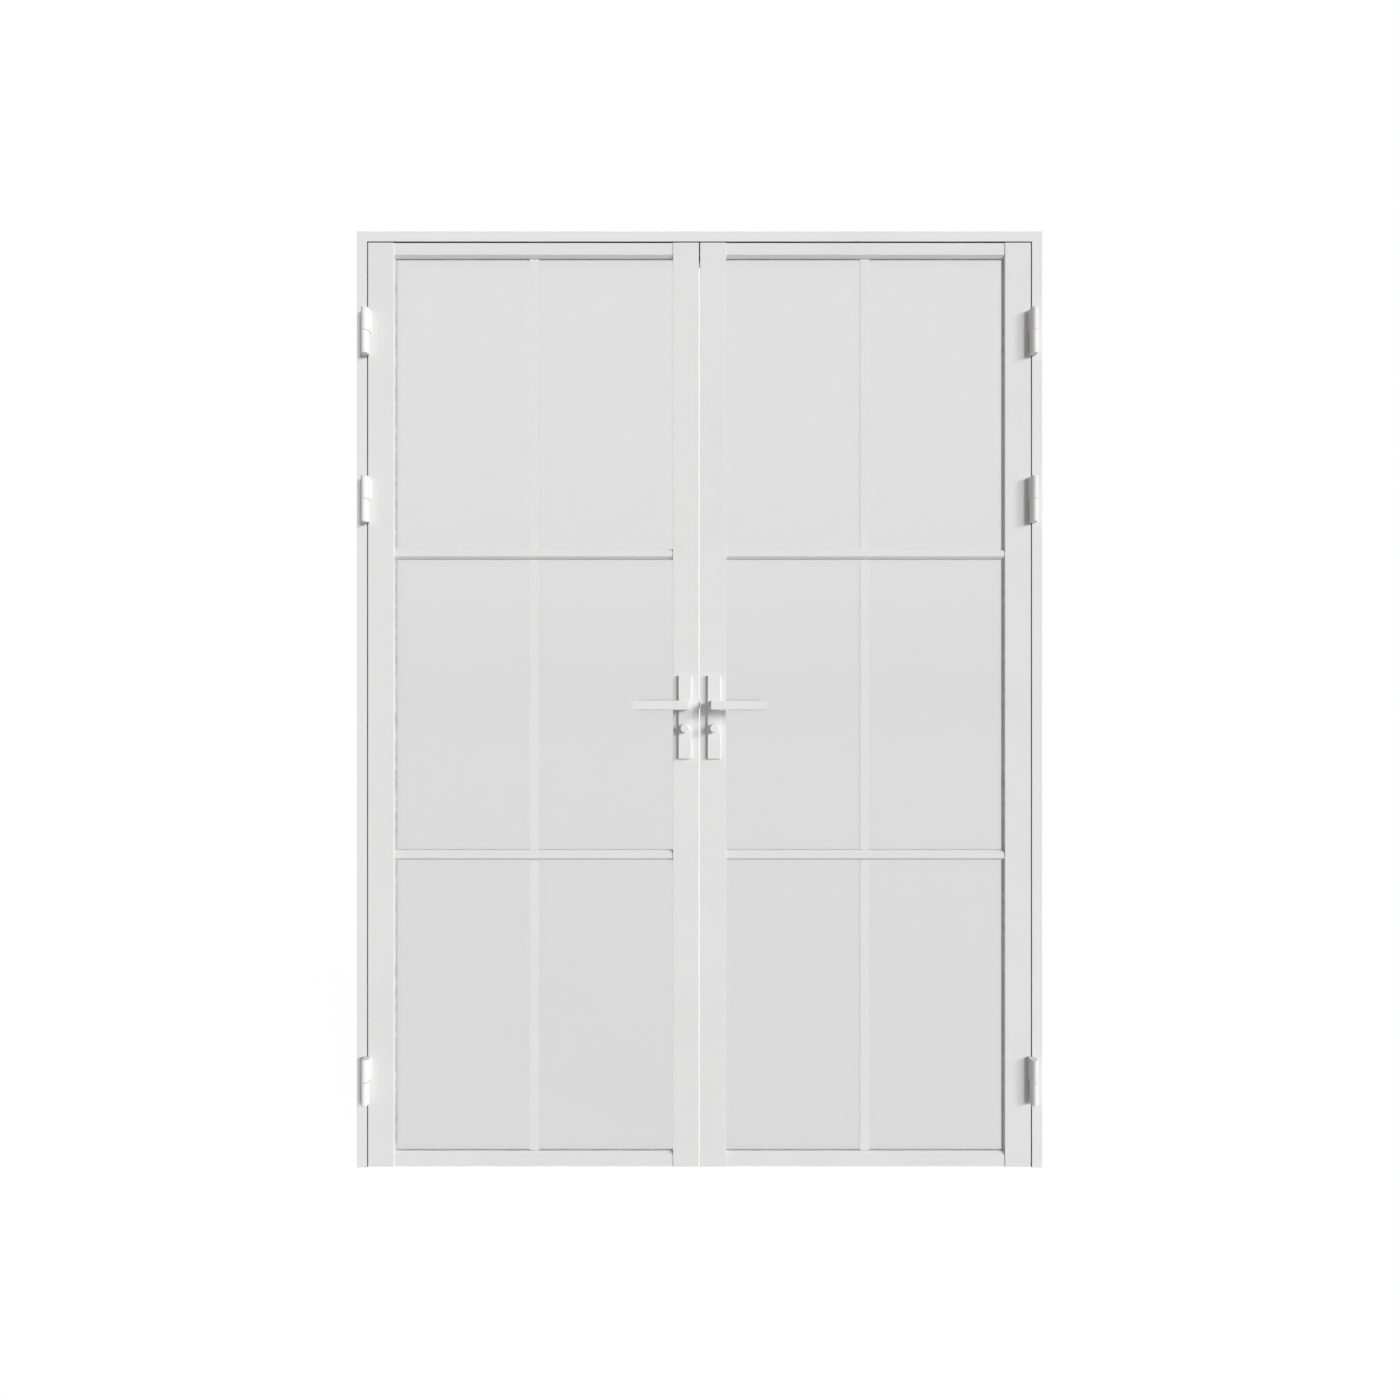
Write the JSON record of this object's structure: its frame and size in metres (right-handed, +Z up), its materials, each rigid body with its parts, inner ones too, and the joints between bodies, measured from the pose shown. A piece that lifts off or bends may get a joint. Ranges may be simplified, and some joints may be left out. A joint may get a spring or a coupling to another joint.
{
  "type": "french doors",
  "caption": "Pair of glazed white steel doors hung in a steel frame, with lever handles, thumb turns, a roller latch and deadbolt in one leaf and shoot bolts in the other.",
  "frame": {"origin": "on the floor, under the middle of the closed pair, half way through the levers that stand out of both faces", "axes": "+Z up, +X to the right seen from the room the leaves open into, that room on -Y"},
  "size_m": [1.719, 0.152, 2.348],
  "materials": {
    "frame_paint": "white powder coat, satin",
    "leaf_paint": "white powder coat, satin",
    "hardware_paint": "white enamel, satin",
    "satin_glass": "satin laminated sheet with a thin sun-control coat",
    "rubber": "matt seal",
    "grey_gasket": "matt gasket",
    "brass": "turned",
    "bright_steel": "zinc plated",
    "roller_nylon": "turned nylon"
  },
  "bodies": {
    "frame": {"head": "frame_paint", "left_jamb": "frame_paint", "right_jamb": "frame_paint", "frame_seals": "rubber", "frame_hinge_barrels": "frame_paint", "hinge_pins": "bright_steel", "hinge_washers": "brass", "head_keep": "bright_steel"},
    "left_leaf": {"left_hinge_stile": "leaf_paint", "left_lock_stile": "leaf_paint", "left_top_rail": "leaf_paint", "left_bottom_rail": "leaf_paint", "left_glazing_bars": "leaf_paint", "left_glass": "satin_glass", "left_glass_strips": "leaf_paint", "left_glazing_tapes": "grey_gasket", "left_glazing_beads": "leaf_paint", "left_hinge_barrels": "leaf_paint", "left_lock_case": "bright_steel", "left_face_plate": "bright_steel", "left_front_plate": "hardware_paint", "left_rear_plate": "hardware_paint", "left_lock_screws": "bright_steel"},
    "right_leaf": {"right_hinge_stile": "leaf_paint", "right_lock_stile": "leaf_paint", "right_top_rail": "leaf_paint", "right_bottom_rail": "leaf_paint", "right_glazing_bars": "leaf_paint", "right_glass": "satin_glass", "right_glass_strips": "leaf_paint", "right_glazing_tapes": "grey_gasket", "right_glazing_beads": "leaf_paint", "right_hinge_barrels": "leaf_paint", "right_lock_case": "bright_steel", "right_face_plate": "bright_steel", "right_front_plate": "hardware_paint", "right_rear_plate": "hardware_paint", "right_lock_screws": "bright_steel"},
    "left_handle": {"left_front_lever": "hardware_paint", "left_rear_lever": "hardware_paint", "left_spindle": "bright_steel", "left_follower": "bright_steel"},
    "left_latch": {"left_latch_carriage": "bright_steel", "left_roller_pin": "bright_steel"},
    "left_roller": {"left_latch_roller": "roller_nylon"},
    "left_turn": {"left_thumb_turn": "hardware_paint", "left_coin_release": "hardware_paint", "left_turn_spindle": "bright_steel", "left_turn_follower": "bright_steel"},
    "left_deadbolt": {"left_deadbolt": "bright_steel"},
    "right_handle": {"right_front_lever": "hardware_paint", "right_rear_lever": "hardware_paint", "right_spindle": "bright_steel", "right_pinion": "bright_steel"},
    "right_top_rod": {"right_top_rod": "bright_steel"},
    "right_bottom_rod": {"right_bottom_rod": "bright_steel"},
    "right_turn": {"right_thumb_turn": "hardware_paint", "right_coin_release": "hardware_paint", "right_turn_spindle": "bright_steel", "right_turn_follower": "bright_steel"}
  },
  "joints": [
    {"name": "left_leaf_swing", "type": "hinge", "parent": "frame", "child": "left_leaf", "pos_m": [-0.833, -0.0303, 0.222], "axis": [0, 0, -1], "range_deg": [0, 170]},
    {"name": "right_leaf_swing", "type": "hinge", "parent": "frame", "child": "right_leaf", "pos_m": [0.833, -0.0303, 0.222], "axis": [0, 0, 1], "range_deg": [0, 170]},
    {"name": "left_lever_press", "type": "hinge", "parent": "left_leaf", "child": "left_handle", "pos_m": [-0.0365, 0, 1.16], "axis": [0, -1, 0], "range_deg": [0, 40], "stiffness_Nm_per_rad": 1.5, "springref_deg": -34.38},
    {"name": "left_latch_pull", "type": "slide", "parent": "left_leaf", "child": "left_latch", "axis": [-1, 0, 0], "range_m": [0, 0.00838]},
    {"name": "left_roller_spin", "type": "hinge", "parent": "left_latch", "child": "left_roller", "pos_m": [-0.0055, 0, 1.16], "axis": [0, 0, 1], "continuous": true},
    {"name": "left_thumb_turn", "type": "hinge", "parent": "left_leaf", "child": "left_turn", "pos_m": [-0.0365, 0, 1.103], "axis": [0, 1, 0], "range_deg": [0, 90]},
    {"name": "left_deadbolt_throw", "type": "slide", "parent": "left_leaf", "child": "left_deadbolt", "axis": [1, 0, 0], "range_m": [0, 0.01558]},
    {"name": "right_lever_lift", "type": "hinge", "parent": "right_leaf", "child": "right_handle", "pos_m": [0.0365, 0, 1.16], "axis": [0, -1, 0], "range_deg": [0, 60]},
    {"name": "right_top_bolt", "type": "slide", "parent": "right_leaf", "child": "right_top_rod", "axis": [0, 0, 1], "range_m": [0, 0.0105]},
    {"name": "right_bottom_bolt", "type": "slide", "parent": "right_leaf", "child": "right_bottom_rod", "axis": [0, 0, -1], "range_m": [0, 0.0105]},
    {"name": "right_thumb_turn", "type": "hinge", "parent": "right_leaf", "child": "right_turn", "pos_m": [0.0365, 0, 1.103], "axis": [0, 1, 0], "range_deg": [0, 90]}
  ],
  "couplings": [
    {"joint": "left_latch_pull", "follows": "left_lever_press", "m_per_rad": 0.011969},
    {"joint": "left_deadbolt_throw", "follows": "left_thumb_turn", "m_per_rad": 0.009903},
    {"joint": "right_top_bolt", "follows": "right_lever_lift", "m_per_rad": 0.01},
    {"joint": "right_bottom_bolt", "follows": "right_lever_lift", "m_per_rad": 0.01}
  ]
}
